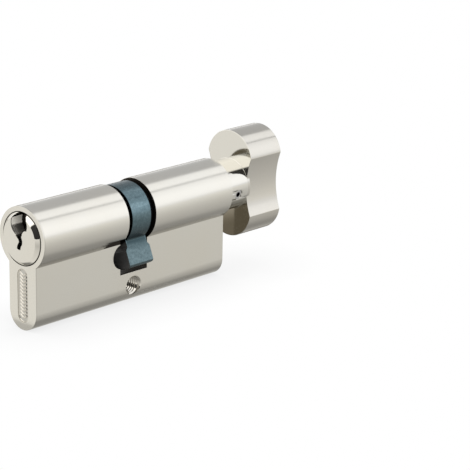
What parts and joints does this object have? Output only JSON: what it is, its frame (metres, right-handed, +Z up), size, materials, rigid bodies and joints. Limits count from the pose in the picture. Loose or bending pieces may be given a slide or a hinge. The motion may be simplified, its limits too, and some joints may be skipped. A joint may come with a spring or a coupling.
{
  "type": "euro profile lock cylinder with thumbturn",
  "caption": "Euro profile door cylinder: a keyed plug with pins and springs at one end, a thumbturn at the other, and a blued cam that both can turn.",
  "frame": {"origin": "centre of the fixing screw hole, in the middle of the web and under the middle of the cam", "axes": "+X along the cylinder from the key side to the thumbturn, +Z up from the web to the round part, +Y to the left when looking along +X"},
  "size_m": [0.0913, 0.017, 0.0397],
  "materials": {
    "body_nickel": "satin nickel plate over brass",
    "knob_nickel": "polished nickel plate on the faces, fine brushed lines round the sides",
    "plug_nickel": "turned and nickel plated",
    "cam_steel": "blued sintered steel",
    "pin_brass": "turned",
    "bright_steel": "bright",
    "spring_wire": "drawn wire",
    "black_steel": "black oxide"
  },
  "bodies": {
    "housing": {"housing": "body_nickel", "chamber_caps": "pin_brass", "detent_ball": "bright_steel", "detent_spring": "spring_wire", "pin_spring_1": "spring_wire", "pin_spring_2": "spring_wire", "pin_spring_3": "spring_wire", "pin_spring_4": "spring_wire", "pin_spring_5": "spring_wire"},
    "plug": {"plug": "plug_nickel", "plug_circlip": "spring_wire"},
    "clutch": {"clutch": "bright_steel"},
    "cam": {"cam": "cam_steel"},
    "thumbturn": {"turn_rotor": "plug_nickel", "rotor_circlip": "spring_wire", "thumbturn_knob": "knob_nickel", "grub_screw": "black_steel", "clutch_spring": "spring_wire"},
    "key_pin_1": {"key_pin_1": "pin_brass"},
    "driver_pin_1": {"driver_pin_1": "bright_steel"},
    "key_pin_2": {"key_pin_2": "pin_brass"},
    "driver_pin_2": {"driver_pin_2": "bright_steel"},
    "key_pin_3": {"key_pin_3": "pin_brass"},
    "driver_pin_3": {"driver_pin_3": "bright_steel"},
    "key_pin_4": {"key_pin_4": "pin_brass"},
    "driver_pin_4": {"driver_pin_4": "bright_steel"},
    "key_pin_5": {"key_pin_5": "pin_brass"},
    "driver_pin_5": {"driver_pin_5": "bright_steel"}
  },
  "joints": [
    {"name": "plug_turn", "type": "hinge", "parent": "housing", "child": "plug", "pos_m": [-0.0355, 0, 0.0195], "axis": [1, 0, 0], "range_deg": [-90, 360]},
    {"name": "thumbturn_turn", "type": "hinge", "parent": "housing", "child": "thumbturn", "pos_m": [0.035, 0, 0.0195], "axis": [1, 0, 0], "continuous": true},
    {"name": "cam_turn", "type": "hinge", "parent": "housing", "child": "cam", "pos_m": [0, 0, 0.0195], "axis": [1, 0, 0], "continuous": true},
    {"name": "clutch_slide", "type": "slide", "parent": "plug", "child": "clutch", "axis": [1, 0, 0], "range_m": [0, 0.0025], "stiffness_N_per_m": 60, "springref_m": -0.001, "deforming": ["clutch_spring"]},
    {"name": "key_pin_1_lift", "type": "slide", "parent": "plug", "child": "key_pin_1", "axis": [0, 0, 1], "range_m": [0, 0.00145]},
    {"name": "driver_pin_1_lift", "type": "slide", "parent": "housing", "child": "driver_pin_1", "axis": [0, 0, 1], "range_m": [0, 0.00145], "deforming": ["pin_spring_1"]},
    {"name": "key_pin_2_lift", "type": "slide", "parent": "plug", "child": "key_pin_2", "axis": [0, 0, 1], "range_m": [0, 0.00255]},
    {"name": "driver_pin_2_lift", "type": "slide", "parent": "housing", "child": "driver_pin_2", "axis": [0, 0, 1], "range_m": [0, 0.00255], "deforming": ["pin_spring_2"]},
    {"name": "key_pin_3_lift", "type": "slide", "parent": "plug", "child": "key_pin_3", "axis": [0, 0, 1], "range_m": [0, 0.00115]},
    {"name": "driver_pin_3_lift", "type": "slide", "parent": "housing", "child": "driver_pin_3", "axis": [0, 0, 1], "range_m": [0, 0.00115], "deforming": ["pin_spring_3"]},
    {"name": "key_pin_4_lift", "type": "slide", "parent": "plug", "child": "key_pin_4", "axis": [0, 0, 1], "range_m": [0, 0.00305]},
    {"name": "driver_pin_4_lift", "type": "slide", "parent": "housing", "child": "driver_pin_4", "axis": [0, 0, 1], "range_m": [0, 0.00305], "deforming": ["pin_spring_4"]},
    {"name": "key_pin_5_lift", "type": "slide", "parent": "plug", "child": "key_pin_5", "axis": [0, 0, 1], "range_m": [0, 0.00195]},
    {"name": "driver_pin_5_lift", "type": "slide", "parent": "housing", "child": "driver_pin_5", "axis": [0, 0, 1], "range_m": [0, 0.00195], "deforming": ["pin_spring_5"]}
  ],
  "couplings": [
    {"joint": "cam_turn", "follows": "thumbturn_turn", "ratio": 1},
    {"joint": "driver_pin_1_lift", "follows": "key_pin_1_lift", "ratio": 1},
    {"joint": "driver_pin_2_lift", "follows": "key_pin_2_lift", "ratio": 1},
    {"joint": "driver_pin_3_lift", "follows": "key_pin_3_lift", "ratio": 1},
    {"joint": "driver_pin_4_lift", "follows": "key_pin_4_lift", "ratio": 1},
    {"joint": "driver_pin_5_lift", "follows": "key_pin_5_lift", "ratio": 1}
  ]
}
